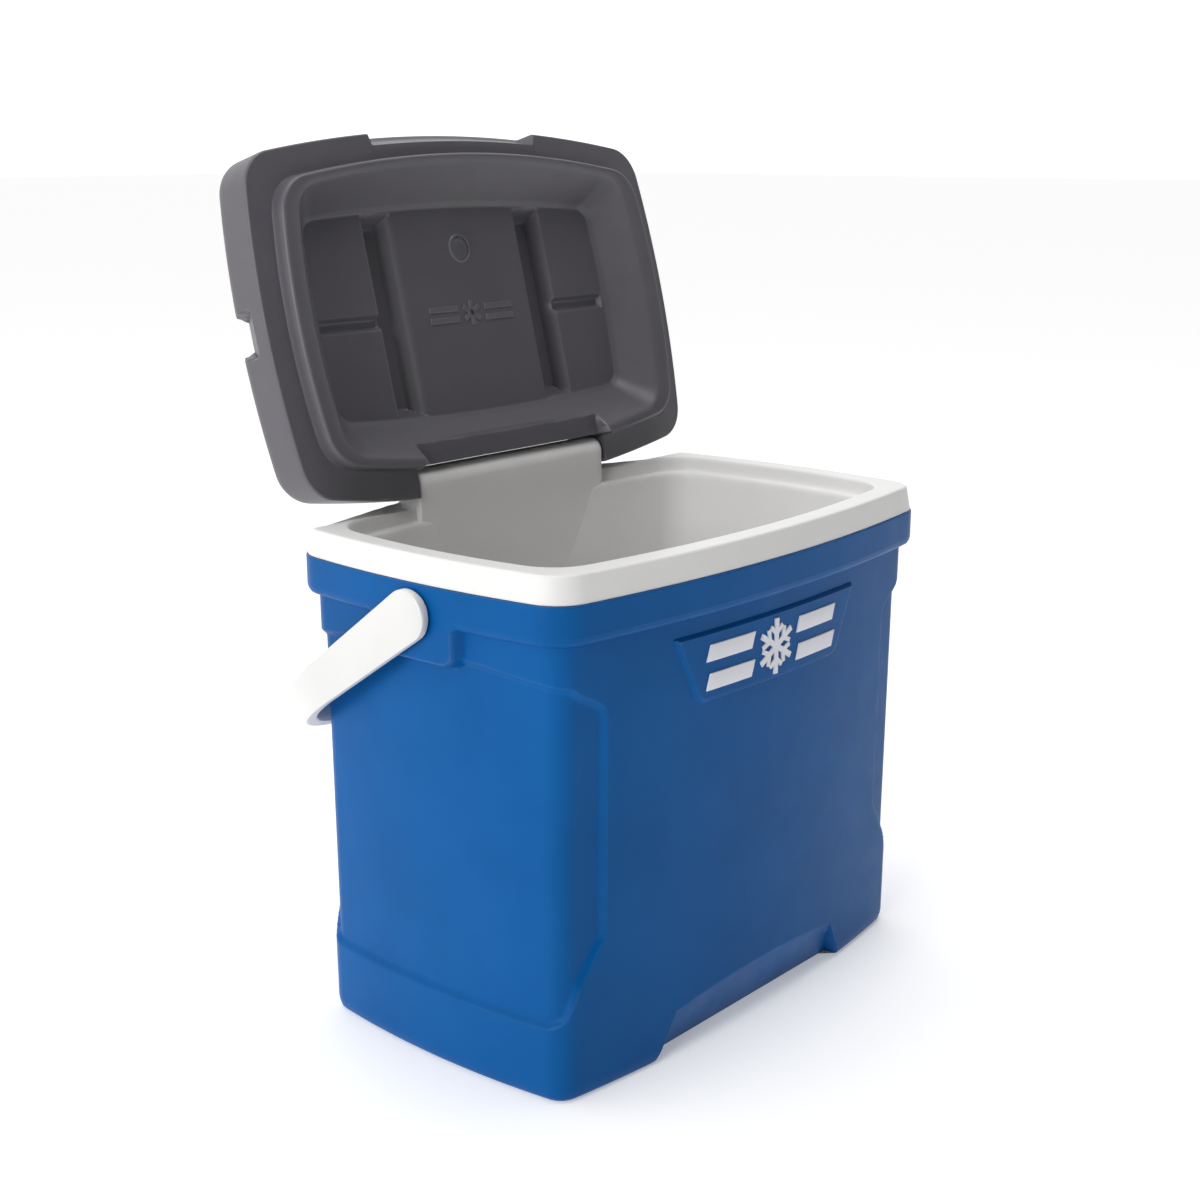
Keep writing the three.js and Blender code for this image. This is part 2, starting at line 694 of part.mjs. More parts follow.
const levelBail = node("bail_handle", bailHandle(), WHITE);
const bail = turnedBack(BAIL.pivotY, BAIL.pivotZ, BAIL.hangDeg, levelBail);

const cooler = new THREE.Group();
cooler.name = "cooler_chest";
cooler.add(...body, lid, bail);

export default cooler;
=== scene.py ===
"""Looks of the cooler chest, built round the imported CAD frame. Dimensions are in millimetres."""

import math

import bmesh
import bpy
import numpy as np
from mathutils import Matrix, Vector


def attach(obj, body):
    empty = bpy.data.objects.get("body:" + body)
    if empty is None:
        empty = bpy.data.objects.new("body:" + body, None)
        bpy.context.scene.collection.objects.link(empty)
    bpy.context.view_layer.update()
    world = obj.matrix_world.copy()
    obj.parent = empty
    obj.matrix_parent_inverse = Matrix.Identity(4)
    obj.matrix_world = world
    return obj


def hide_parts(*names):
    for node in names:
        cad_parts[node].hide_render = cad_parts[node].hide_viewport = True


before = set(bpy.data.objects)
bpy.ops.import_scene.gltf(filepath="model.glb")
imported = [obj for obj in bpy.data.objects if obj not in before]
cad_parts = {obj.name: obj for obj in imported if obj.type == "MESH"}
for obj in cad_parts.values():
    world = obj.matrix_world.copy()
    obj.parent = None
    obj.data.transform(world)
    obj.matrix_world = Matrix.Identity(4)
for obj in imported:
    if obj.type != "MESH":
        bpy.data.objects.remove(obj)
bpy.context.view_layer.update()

# ---- driving dimensions ----
COLLAR = dict(half_l=219, half_w=128.2, bow_x=11, bow_y=20, corner=31)
TUB = dict(half_l=197, half_w=106.2, bow_x=10.5, bow_y=19, corner=34)
LID_PLAN = dict(COLLAR, corner=36)
DISH_MOUTH = dict(half_l=180, half_w=98, bow_x=10, bow_y=18, corner=25)
DISH_FLOOR = dict(half_l=159, half_w=76, bow_x=4, bow_y=6.5, corner=14)
DISH_FLOOR_Y = -3.5
BODY_INSET = 11.4  # of the body's faces from the collar, above the chamfer at the foot
CHAMFER_TOP = 11.5
COLLAR_BOTTOM = 331
COLLAR_TOP = 359
PANEL_DEPTH = 3.8
PANEL_EDGE = 172
PANEL_CORNER_X = PANEL_EDGE + 12
PANEL_CORNER_R = 12
PAD_PROUD = 3
BADGE_Z = 291.5
BAR_X = 53
BAR_RISE = 10.5
COVE_TOP_X = 96
COVE_FOOT_X = 122
COVE_TOP = 44
COVE_DEPTH = 21
RIM_BOTTOM = 359.3
RIM_TOP = 378.5
TUB_FLOOR = 42
TUB_LEDGE = 366
HINGE_Y = 126.6
HINGE_Z = 392.6
OPEN_DEG = 104
BLOCK_HALF_X = 106.5
BLOCK_R = 12.3
BLOCK_REAR = 13.6
STOP_RISE = 0.42  # lift of the stop's rear edge, which closes the slot under the open lid
TROUGH_R = 18.8
TROUGH_X = 107.3
TROUGH_FLOOR = 364.5
RIM_EDGE = 6.8  # inset of the rim's outer edge once rounded over
TUB_EDGE = -2.6  # the same for its inner edge, from the tub's plan
LID_Z = 378.8
LID_INSET = 5.5
LID_WALL = 28
LID_ROUND = 12
LID_CROWN = 4
NOTCH_HALF_X = 109
NOTCH_Y = HINGE_Y - 12.8
GRIP_HALF_X = 92.5
LIP_INSET = 2.7
LIP_DEPTH = 12
DISH_DEPTH = 18
CHANNEL_X = (68.5, 100)
CHANNEL_Y = (-82, 77)
CHANNEL_DEPTH = 15
GROOVE_Y = 0.5
GROOVE_HALF = 6
GROOVE_DEPTH = 5
GROOVE_END = 161
PLUG_Y = -52
PLUG_R = 9.5
PLUG_RECESS = 2.4
PIVOT_Y = -2
PIVOT_Z = 337
HANG_DEG = 35.6
HUB_R = 18.5
END_HALF = 14.2
REACH = 197
BAIL_CORNER = 84
ARM_IN = 231.6
ARM_T = 6
GRIP_T = 11
BAIL_SKIN = 3
HOLLOW_START = 58
STUD_R = 8
STUD_END = 221
CORNER_STEPS = 22
MM = 0.001


# ---- plans: bowed rectangles with outward normals ----
def fillet_centre(long_c, long_r, end_c, end_r, corner):
    """Centre of the fillet inside both arcs, in the quarter towards +X and -Y."""
    dx, dy = end_c[0] - long_c[0], end_c[1] - long_c[1]
    d = math.hypot(dx, dy)
    along = (d * d + (long_r - corner) ** 2 - (end_r - corner) ** 2) / (2 * d)
    off = math.sqrt((long_r - corner) ** 2 - along * along)
    options = [
        (long_c[0] + (along * dx + side * off * dy) / d, long_c[1] + (along * dy - side * off * dx) / d)
        for side in (1, -1)
    ]
    return min(options, key=lambda c: c[1])


def plan_arcs(shape):
    """Centres and radii of a plan's long side and end, and its fillet's centre."""
    half_l, half_w = shape["half_l"], shape["half_w"]
    bow_x, bow_y = shape["bow_x"], shape["bow_y"]
    long_r = (half_l**2 + bow_y**2) / (2 * bow_y)
    end_r = (half_w**2 + bow_x**2) / (2 * bow_x)
    long_c = (0, long_r - half_w - bow_y)
    end_c = (half_l + bow_x - end_r, 0)
    return long_c, long_r, end_c, end_r, fillet_centre(long_c, long_r, end_c, end_r, shape["corner"])


def tangent_x(shape):
    """X at which a plan's long side meets its corner."""
    long_c, long_r, _, _, fc = plan_arcs(shape)
    return long_r * fc[0] / math.hypot(fc[0], fc[1] - long_c[1])


def arc_columns(centre, radius, angles):
    """Points of an arc with their outward normals."""
    c, s = np.cos(angles), np.sin(angles)
    return np.stack([centre[0] + radius * c, centre[1] + radius * s, c, s], axis=1)


class Plan:
    """Columns round a bowed rectangle, counter-clockwise from the middle of the -Y side.

    long_steps places the long side's columns as fractions of the x where its corner starts.
    """

    def __init__(self, shape, long_steps, end_steps=54):
        long_c, long_r, end_c, end_r, fc = plan_arcs(shape)
        t1 = math.atan2(fc[1] - long_c[1], fc[0] - long_c[0])
        t2 = math.atan2(fc[1] - end_c[1], fc[0] - end_c[0])
        long_angles = np.arcsin(long_steps * math.cos(t1)) - math.pi / 2
        quarter = np.concatenate([
            arc_columns(long_c, long_r, long_angles),
            arc_columns(fc, shape["corner"], np.linspace(t1, t2, CORNER_STEPS + 1)[1:-1]),
            arc_columns(end_c, end_r, np.linspace(t2, 0, end_steps + 1)),
        ])
        lengths = np.hypot(*np.diff(quarter[:, :2], axis=0).T)
        run = np.concatenate([[0], np.cumsum(lengths)])
        back = quarter[:0:-1]
        loops = [
            quarter[:-1],
            back * [1, -1, 1, -1],
            quarter[:-1] * -1,
            back * [-1, 1, -1, 1],
        ]
        self.x, self.y, self.nx, self.ny = np.concatenate(loops).T
        self.run = np.concatenate([run[:-1], run[:0:-1], run[:-1], run[:0:-1]])
        self.quarter_x = quarter[:, 0]
        self.quarter_run = run

    def ring(self, z, inset=0, scale=1):
        """Points of the outline at height z, moved inwards by inset and then scaled."""
        x = (self.x - inset * self.nx) * scale
        y = (self.y - inset * self.ny) * scale
        return np.stack([x, y, np.zeros_like(x) + z], axis=1)

    def run_at(self, x):
        """Run along the side, from the middle of the long side, at which the outline reaches x."""
        past = max(0, x - self.quarter_x[-1])
        return np.interp(x, self.quarter_x, self.quarter_run) + past


def long_fractions(reach, pinned=(), dense=(), step=4, fine=1.5):
    """Column places on the long side as fractions of its reach, finer inside the dense spans."""
    xs = [0.0]
    while xs[-1] < reach:
        near = any(lo <= xs[-1] < hi for lo, hi in dense)
        xs.append(xs[-1] + (fine if near else step))
    xs = [x for x in xs if x < reach - 0.6 and all(abs(x - p) > 0.9 for p in pinned)]
    return np.array(sorted([*xs, *pinned, reach])) / reach


LONG_TANGENT = tangent_x(COLLAR)
LID_TANGENT = tangent_x(LID_PLAN)


# ---- mesh making ----
def to_mesh(name, verts, faces, body, sharp=35):
    """Object in metres from millimetre points, welded, smooth apart from edges over `sharp` degrees."""
    bm = bmesh.new()
    made = [bm.verts.new(Vector(v) * MM) for v in verts]
    for face in faces:
        bm.faces.new([made[i] for i in face])
    bmesh.ops.remove_doubles(bm, verts=bm.verts, dist=1e-5)
    bmesh.ops.dissolve_degenerate(bm, edges=bm.edges, dist=1e-6)
    bmesh.ops.recalc_face_normals(bm, faces=bm.faces)
    mesh = bpy.data.meshes.new(name)
    bm.to_mesh(mesh)
    bm.free()
    mesh.shade_smooth()
    mesh.set_sharp_from_angle(angle=math.radians(sharp))
    obj = bpy.data.objects.new(name, mesh)
    bpy.context.scene.collection.objects.link(obj)
    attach(obj, body)
    return obj


def loft_faces(rows, cols, closed=True):
    """Quads between successive rings of `cols` points."""
    faces = []
    last = cols if closed else cols - 1
    for r in range(rows - 1):
        a = r * cols
        for i in range(last):
            j = (i + 1) % cols
            faces.append((a + i, a + j, a + cols + j, a + cols + i))
    return faces


def closed_loft(rings):
    """Vertices and faces of a stack of rings with a fan at each end."""
    rows, cols = len(rings), len(rings[0])
    verts = np.concatenate([*rings, [rings[0].mean(axis=0)], [rings[-1].mean(axis=0)]])
    faces = loft_faces(rows, cols)
    low, top = rows * cols, (rows - 1) * cols
    for i in range(cols):
        j = (i + 1) % cols
        faces.append((low, j, i))
        faces.append((low + 1, top + i, top + j))
    return verts, faces


def polygon_distance(px, pz, outline):
    """Distance of each point to a polygon, negative inside."""
    best = np.full(px.shape, 1e9)
    inside = np.zeros(px.shape, bool)
    for (ax, az), (bx, bz) in zip(outline, outline[1:] + outline[:1]):
        ex, ez = bx - ax, bz - az
        t = np.clip(((px - ax) * ex + (pz - az) * ez) / (ex * ex + ez * ez), 0, 1)
        best = np.minimum(best, np.hypot(px - ax - t * ex, pz - az - t * ez))
        if az != bz:
            crosses = ((az > pz) != (bz > pz)) & (px < ex * (pz - az) / ez + ax)
            inside ^= crosses
    return np.where(inside, -best, best)


def ramp(t):
    """0 to 1 slope with softened ends."""
    t = np.clip(t, 0, 1)
    return 0.35 * t + 0.65 * t * t * (3 - 2 * t)


def arc(u, v, r, a0, a1, n):
    """Points of an arc about (u, v) between two angles in degrees."""
    angles = np.radians(np.linspace(a0, a1, n + 1))
    return [(u + r * math.cos(a), v + r * math.sin(a)) for a in angles]


def turned(verts, y, z, degrees):
    """Points turned back about an axis along X through (y, z)."""
    t = -math.radians(degrees)
    out = np.array(verts, float)
    dy, dz = out[:, 1] - y, out[:, 2] - z
    out[:, 1] = y + dy * math.cos(t) - dz * math.sin(t)
    out[:, 2] = z + dy * math.sin(t) + dz * math.cos(t)
    return out


# ---- outer shell ----
def shell_base(z):
    """Inset of the body's faces from the collar plan at height z."""
    foot = [(0, 15.9), (0.8, 15.1), (3, 13.1), (7, 11.9), (10.5, BODY_INSET), (CHAMFER_TOP, BODY_INSET)]
    under_collar = [(330.2, 8.6), (COLLAR_BOTTOM, 5), (332.2, 2.2), (334.4, 0.7), (337.5, 0)]
    top_edge = [(358.2, 0), (358.8, 0.25), (COLLAR_TOP, 0.9)]
    heights, insets = zip(*foot, *under_collar, *top_edge)
    return np.interp(z, heights, insets)


def shell_rows():
    """Heights of the shell's rings, closer together where its features are."""
    spans = [
        (0, 13, 1.0), (13, 30, 2.8), (30, 62, 1.2), (62, 102, 4), (102, 126, 1.5),
        (126, 258, 4.4), (258, 328, 1.25), (328, 339, 0.6), (339, 357, 6), (357, COLLAR_TOP, 0.2),
    ]
    return np.concatenate([np.arange(lo, hi - 0.01, step) for lo, hi, step in spans] + [[COLLAR_TOP]])


def panel_outline(plan):
    """Sunk end panel as (run, z) points of the unrolled side."""
    in_x = [
        (228, 310), (205, 301), (PANEL_EDGE + 10, 289),
        *arc(PANEL_CORNER_X, 276, PANEL_CORNER_R, 110, 180, 6), (PANEL_EDGE, 122),
        *arc(PANEL_CORNER_X, 120, PANEL_CORNER_R, 190, 225, 5), (212, 60), (222, 55),
    ]
    far = plan.quarter_run[-1] + 40
    return [(far, 55), (far, 310)] + [(plan.run_at(x), z) for x, z in in_x]


def boss_outline():
    """Pivot boss under the collar as (y, z) points."""
    return [(-43, 345), *arc(-29, 315, 14, 180, 270, 8), *arc(29, 315, 14, 270, 360, 8), (43, 345)]


def pad_outline():
    """Raised badge pad under the collar as (x, z) points."""
    return [(-112, 318), *arc(-78, 279, 13, 200, 270, 8), *arc(78, 279, 13, 270, 340, 8), (112, 318)]


def cove_edge(z):
    """Half-width of the cove at height z; its ends slope outwards to the floor."""
    return np.interp(z, [0, COVE_TOP], [COVE_FOOT_X, COVE_TOP_X])


def cove_inset(plan, z, extra=0):
    """Inset at which the cove's sloping wall stands, or 0 beyond the cove."""
    face_y = COLLAR["half_w"] + COLLAR["bow_y"] - BODY_INSET
    wall_y = face_y - COVE_DEPTH * (1 - z / COVE_TOP) - extra
    inset = (np.abs(plan.y) - wall_y) / np.abs(plan.ny + 1e-9 * (plan.ny == 0))
    reach = np.abs(plan.x) < cove_edge(z) + extra
    return np.where(reach & (z < COVE_TOP) & (np.abs(plan.ny) > 0.9), inset, 0)


def shell_plan(steps, z):
    """Collar plan whose columns follow the cove's slanted ends at height z."""
    level, moved = [0, COVE_TOP_X, LONG_TANGENT], [0, cove_edge(z), LONG_TANGENT]
    return Plan(COLLAR, np.interp(steps * LONG_TANGENT, level, moved) / LONG_TANGENT)


def shell_inset(plan, z):
    """Inset of the body's outside from the collar plan all round at height z."""
    level = np.full(plan.x.shape, float(z))
    inset = np.full(plan.x.shape, float(shell_base(z)))
    inset += PANEL_DEPTH * ramp(-polygon_distance(plan.run, level, panel_outline(plan)) / 5)
    pad = ramp(-polygon_distance(plan.x, level, pad_outline()) / 2.2)
    inset -= PAD_PROUD * pad * (plan.y < -100)
    boss = ramp(-polygon_distance(plan.y, level, boss_outline()) / 5)
    inset += (0.15 - inset) * boss * (np.abs(plan.x) > 200) * (z < COLLAR_BOTTOM + 6)
    return np.maximum(inset, cove_inset(plan, z))


def outer_shell():
    """Blue shell: its outside from the foot up, then its inside back down."""
    pinned = (COVE_TOP_X - 0.3, COVE_TOP_X + 0.3)
    steps = long_fractions(LONG_TANGENT, pinned, dense=[(78, 118), (162, 200)])
    rings = []
    for z in shell_rows():
        plan = shell_plan(steps, z)
        rings.append(plan.ring(z, shell_inset(plan, z)))
    inside = [
        (COLLAR_TOP, 3), (337, 3), (330, 12), (298, 16), (60, 18), (COVE_TOP + 3, 18), (14, 18), (3.5, 19.5),
    ]
    for z, depth in inside:
        plan = shell_plan(steps, z)
        rings.append(plan.ring(z, np.maximum(depth, cove_inset(plan, z, 3))))
    verts, faces = closed_loft(rings)
    return to_mesh("shell_moulding", verts, faces, "body")


# ---- badge ----
def pad_face_y(x, depth):
    """Y of the front face at x, `depth` inside the collar plan, near the badge's height."""
    radius = (COLLAR["half_l"] ** 2 + COLLAR["bow_y"] ** 2) / (2 * COLLAR["bow_y"])
    centre = radius - COLLAR["half_w"] - COLLAR["bow_y"]
    return centre - math.sqrt((radius - depth) ** 2 - x * x)


def badge_bar(name, cx, cz):
    """Slanted bar, standing on the pad and following its bow."""
    half_x, slant, half_z = 25, 2, 6
    levels = [(5.9, 0), (4.9, 0), (4.72, 0.14), (4.62, 0.45)]
    steps = 10
    rings = []
    for depth, shrink in levels:
        reach, rise = half_x - shrink, half_z - shrink
        low = [(cx - slant + x, cz - rise) for x in np.linspace(-reach, reach, steps + 1)]
        high = [(cx + slant + x, cz + rise) for x in np.linspace(reach, -reach, steps + 1)]
        rings.append(np.array([(x, pad_face_y(x, depth), z) for x, z in low + high]))
    verts = np.concatenate(rings)
    count = 2 * (steps + 1)
    faces = loft_faces(len(rings), count)
    for base, flip in ((0, True), ((len(rings) - 1) * count, False)):
        for i in range(steps):
            quad = (base + i, base + i + 1, base + count - 2 - i, base + count - 1 - i)
            faces.append(quad[::-1] if flip else quad)
    return to_mesh(name + "_moulding", verts, faces, "body", sharp=50)


# ---- liner: rim, tub and hinge block ----
def rim_clip(points):
    """Lowers the rim's points into the round trough that the lid's rear edge sweeps."""
    x, y, z = points.T
    reach = (np.abs(x) > TROUGH_X - 1) & (y > 100)
    span = np.clip(TROUGH_R**2 - (y - HINGE_Y) ** 2, 0, None)
    floor = np.where(reach & (span > 0), HINGE_Z - np.sqrt(span), 1e3)
    points[:, 2] = np.where(z > TROUGH_FLOOR - 0.5, np.minimum(z, np.maximum(floor, TROUGH_FLOOR)), z)
    return points


def liner_tub():
    """Rim flange and tub, from under the rim's outer edge over the top and down to the tub's floor."""
    pinned = (TROUGH_X - 1.2, TROUGH_X - 0.8)
    steps = long_fractions(LONG_TANGENT, pinned, step=3)
    collar = Plan(COLLAR, steps, end_steps=40)
    tub = Plan(TUB, steps, end_steps=40)
    outside = [
        (352, 6.8), (352, 3.9), (RIM_BOTTOM, 3.9), (RIM_BOTTOM, 2), (359.4, 1.5), (359.8, 1.25), (360.6, 1.2),
        *[(z, 1.2 + (z - 360.6) * 0.185) for z in (362, 364, 366, 368, 370, 372, 374, 375.5)],
        (376.6, 4.25), (377.4, 4.6), (378, 5.1), (378.35, 5.8), (RIM_TOP, RIM_EDGE),
    ]
    rings = [collar.ring(z, inset) for z, inset in outside]
    outer_edge, inner_edge = collar.ring(RIM_TOP, RIM_EDGE), tub.ring(RIM_TOP, TUB_EDGE)
    rings += [outer_edge + (inner_edge - outer_edge) * f for f in np.linspace(0, 1, 15)[1:-1]]
    inside = [
        (RIM_TOP, TUB_EDGE), (378.4, -1.7), (378.1, -1), (377.5, -0.4), (376.6, 0), (375, 0.2),
        (370, 0.6), (367.6, 0.9), (366.6, 1.3), (366.1, 2.1), (TUB_LEDGE, 3.2), (365.9, 4.4), (365.3, 5.5),
        (364, 6.3), (361, 6.7), (300, 9.2), (200, 13), (100, 17), (56, 18.8), (51, 19.6), (47, 21.4),
        (44.2, 24.2), (42.6, 27.6), (TUB_FLOOR, 32),
    ]
    rings += [tub.ring(z, inset) for z, inset in inside]
    rings = [rim_clip(r) for r in rings]
    rings += [tub.ring(TUB_FLOOR, 32, scale) for scale in (0.8, 0.5, 0.2)]
    return closed_tub(rings)


def closed_tub(rings):
    """Loft with a fan over its last ring, left open at the first, which the collar hides."""
    rows, cols = len(rings), len(rings[0])
    verts = np.concatenate([*rings, [rings[-1].mean(axis=0)]])
    faces = loft_faces(rows, cols)
    for i in range(cols):
        faces.append((rows * cols, (rows - 1) * cols + i, (rows - 1) * cols + (i + 1) % cols))
    return verts, faces


def block_profile(shrink):
    """Hinge block's section as (y, z) points, drawn in by shrink for the rounded ends."""
    r = BLOCK_R - shrink
    tilt = OPEN_DEG - 90
    t = math.radians(tilt)
    rear = HINGE_Y + BLOCK_REAR - shrink
    stop_z = HINGE_Z + (r + STOP_RISE - (BLOCK_REAR - shrink) * math.sin(t)) / math.cos(t)
    top = arc(HINGE_Y, HINGE_Z, r, 90 - tilt, 180, 20)
    front, foot, seat = HINGE_Y - r, 245, 374
    apron = [(front, TUB_LEDGE), (front, 320), (front, foot), (HINGE_Y, foot), (HINGE_Y, seat)]
    return [(rear, stop_z - 0.9), (rear - 0.9, stop_z)] + top + apron + [(rear, seat)]


def hinge_block():
    """Block along the rear edge whose front runs down into the tub's rear wall."""
    half = BLOCK_HALF_X
    ends = [(half, 1.3), (half - 0.12, 0.8), (half - 0.4, 0.38), (half - 0.8, 0.12), (half - 1.4, 0)]
    middle = [(x, 0) for x in np.linspace(-half + 8, half - 8, 15)]
    stations = [(-x, s) for x, s in ends] + middle + [(x, s) for x, s in reversed(ends)]
    rings = [np.array([(x, y, z) for y, z in block_profile(s)]) for x, s in stations]
    cols = len(rings[0])
    last = (len(rings) - 1) * cols
    faces = loft_faces(len(rings), cols)
    faces += [tuple(range(cols)), tuple(range(last + cols - 1, last - 1, -1))]
    return np.concatenate(rings), faces


def join_parts(parts):
    """One vertex and face list from several."""
    verts, faces, base = [], [], 0
    for v, f in parts:
        verts.append(v)
        faces += [tuple(i + base for i in face) for face in f]
        base += len(v)
    return np.concatenate(verts), faces


def inner_liner():
    """White liner: rim, tub and hinge block."""
    verts, faces = join_parts([liner_tub(), hinge_block()])
    return to_mesh("liner_moulding", verts, faces, "body")


# ---- lid, drawn closed and then turned open ----
def notch_inset(plan, k):
    """Inset of the notches in the lid's outer wall, k above its skirt edge; 0 where there is none."""
    x, y = plan.x, plan.y
    grip = np.interp(k, [0, 15.5, 17.5, 19, 19.3], [15, 9.6, 8.2, 5, 0])
    grip = np.minimum(grip, LID_INSET + np.clip((GRIP_HALF_X - np.abs(x)) * 6, 0, None)) * (y < 0)
    grip = np.where(np.abs(x) < GRIP_HALF_X, grip, 0)
    side_half = np.interp(k, [13, 44], [18.5, 15])
    side = np.interp(k, [13, 14, 44], [LID_INSET, 6, 26]) if k > 13 else 0
    side = np.minimum(side, LID_INSET + np.clip((side_half - np.abs(y)) * 5, 0, None))
    side = np.where((np.abs(y) < side_half) & (np.abs(x) > 200), side, 0)
    return np.maximum(grip, side)


def cut_ring(plan, z, inset):
    """Ring of the lid's outside, cut straight across in front of the hinge."""
    ring = plan.ring(z, inset)
    rear = plan.y > 0
    held = rear * np.interp(np.abs(plan.x), [NOTCH_HALF_X + 3, 150], [1, 0])
    ring[:, 0] += (plan.x - ring[:, 0]) * held
    cut = rear & (np.abs(plan.x) < NOTCH_HALF_X)
    ring[:, 1] = np.where(cut, np.minimum(ring[:, 1], NOTCH_Y), ring[:, 1])
    return ring


def lid_outside(plan):
    """Rings from the middle of the lid's top, down the wall to the skirt edge."""
    edge_z = LID_Z + LID_WALL + LID_ROUND
    edge_inset = LID_INSET + 1 + LID_ROUND
    rings = []
    for s in (0.12, 0.25, 0.4, 0.55, 0.7, 0.8):
        rings.append(plan.ring(edge_z + LID_CROWN * (1 - s * s), edge_inset, s))
    for more, rise in ((18, 0.9), (11, 0.6), (6, 0.35), (2.5, 0.15)):
        inset = np.maximum(edge_inset + more, notch_inset(plan, LID_WALL + LID_ROUND + rise))
        rings.append(cut_ring(plan, edge_z + rise, inset))
    for deg in range(90, -1, -6):
        a = math.radians(deg)
        k = LID_WALL + LID_ROUND * math.sin(a)
        inset = LID_INSET + 1 + LID_ROUND * (1 - math.cos(a))
        rings.append(cut_ring(plan, LID_Z + k, np.maximum(inset, notch_inset(plan, k))))
    heights = [
        26, 24, 22, 20.5, 19.4, 19, 18.2, 17.4, 16.5, 15.5, 14.4, 13.8, 13,
        12, 9, 6, 3.5, 2, 1.2, 0.6, 0.2, 0,
    ]
    for k in heights:
        inset = LID_INSET + k / LID_WALL + np.interp(k, [0, 0.2, 0.6, 1.2, 2], [1.8, 1.1, 0.5, 0.2, 0])
        rings.append(cut_ring(plan, LID_Z + k, np.maximum(inset, notch_inset(plan, k))))
    return rings


def clamp_to_notch(points):
    """Holds the underside's points in front of the hinge notch."""
    x, y, _ = points.T
    points[:, 1] = np.where((np.abs(x) < NOTCH_HALF_X) & (y > NOTCH_Y), NOTCH_Y, y)
    return points


def rear_flat(points):
    """Flattens the underside to the skirt plane in front of the hinge notch."""
    x, y, z = points.T
    share = ramp((y - 95.5) / 2.4) * ramp((105.5 - np.abs(x)) / 2)
    points[:, 2] = z + (LID_Z - z) * share
    return points


def lid_underside(tub, mouth, floor):
    """Rings from the lip's root, over its crest and down the dish's wall to the dish floor."""
    crest = LID_Z - LIP_DEPTH
    root = [
        (LID_Z, LIP_INSET - 1.2), (LID_Z - 0.3, LIP_INSET - 0.4), (LID_Z - 1.2, LIP_INSET),
        (LID_Z - 4.5, LIP_INSET + 0.4), (crest + 2, LIP_INSET + 0.9), (crest + 0.9, LIP_INSET + 1.5),
        (crest + 0.2, LIP_INSET + 2.5), (crest, LIP_INSET + 3.6),
    ]
    rings = [tub.ring(z, inset) for z, inset in root]
    low, high = mouth.ring(crest + 0.3), floor.ring(LID_Z + DISH_DEPTH)
    high[:, 1] += DISH_FLOOR_Y
    for f in np.concatenate([[0.01], np.linspace(0.04, 0.96, 24), [0.985, 1]]):
        ring = low + (high - low) * f
        soft = 1.4 * math.exp(-((f / 0.05) ** 2)) - 1.6 * math.exp(-(((1 - f) / 0.06) ** 2))
        ring[:, 2] += soft * 0.5
        rings.append(ring)
    flat = floor.ring(LID_Z + DISH_DEPTH, 1.2)
    flat[:, 1] += DISH_FLOOR_Y
    rings.append(flat)
    return [rear_flat(clamp_to_notch(r)) for r in rings]


def pad_height(x, y):
    """Height of the dish floor over (x, y): pads, deep channels and the side pads' cross grooves."""
    z = np.full(x.shape, float(LID_Z + DISH_DEPTH))
    from_side = np.minimum(ramp((np.abs(x) - CHANNEL_X[0]) / 10), ramp((CHANNEL_X[1] - np.abs(x)) / 3.6))
    from_end = np.minimum(y - CHANNEL_Y[0], CHANNEL_Y[1] - y)
    z += CHANNEL_DEPTH * np.minimum(from_side, ramp(from_end / 10))
    along = ramp((np.abs(x) - CHANNEL_X[1] + 3) / 4) * ramp((GROOVE_END - np.abs(x)) / 3)
    groove = ramp((GROOVE_HALF - np.abs(y - GROOVE_Y)) / 3.2) * along
    z = np.maximum(z, LID_Z + DISH_DEPTH + GROOVE_DEPTH * groove)
    z += PLUG_RECESS * ramp((PLUG_R + 1.6 - np.hypot(x, y - PLUG_Y)) / 1.4)
    return z


def dish_floor(edge):
    """Grid over the dish floor whose border is the given ring; columns run from front to rear."""
    quarter = len(edge) // 4
    front = np.concatenate([edge[-quarter + 1 :], edge[:quarter]])
    rear = edge[[(2 * quarter - i) % len(edge) for i in range(-quarter + 1, quarter)]]
    rows = 112
    share = np.linspace(0, 1, rows)[:, None, None]
    grid = front[None] * (1 - share) + rear[None] * share
    inner = (slice(1, rows - 1), slice(None))
    x, y = grid[..., 0][inner], grid[..., 1][inner]
    grid[..., 2][inner] = pad_height(x, y)
    cols = grid.shape[1]
    verts = np.concatenate([grid.reshape(-1, 3), edge[[quarter]], edge[[3 * quarter]]])
    faces = loft_faces(rows, cols, closed=False)
    right, left = rows * cols, rows * cols + 1
    for r in range(rows - 1):
        faces.append((r * cols + cols - 1, right, (r + 1) * cols + cols - 1))
        faces.append((r * cols, (r + 1) * cols, left))
    return verts, faces


def raised_bar(cx, cy, half_x, half_y, degrees):
    """Low bar on the dish floor, turned about its centre, with softened edges."""
    z = LID_Z + DISH_DEPTH
    c, s = math.cos(math.radians(degrees)), math.sin(math.radians(degrees))
    rings = []
    for height, shrink in [(z + 0.6, 0), (z - 0.6, 0), (z - 0.85, 0.15), (z - 0.95, 0.45)]:
        w, h = half_x - shrink, half_y - shrink
        corners = [(-w, -h), (w, -h), (w, h), (-w, h)]
        rings.append(np.array([(cx + u * c - v * s, cy + u * s + v * c, height) for u, v in corners]))
    return closed_loft(rings)


def lid_mark():
    """Raised generic mark on the centre pad: a flake between two pairs of bars."""
    bars = [raised_bar(x, y, 16, 2.4, 0) for x in (-31, 31) for y in (-4.4, 4.4)]
    spokes = [raised_bar(0, 0, 2, 10, degrees) for degrees in (0, 60, 120)]
    return join_parts(bars + spokes)


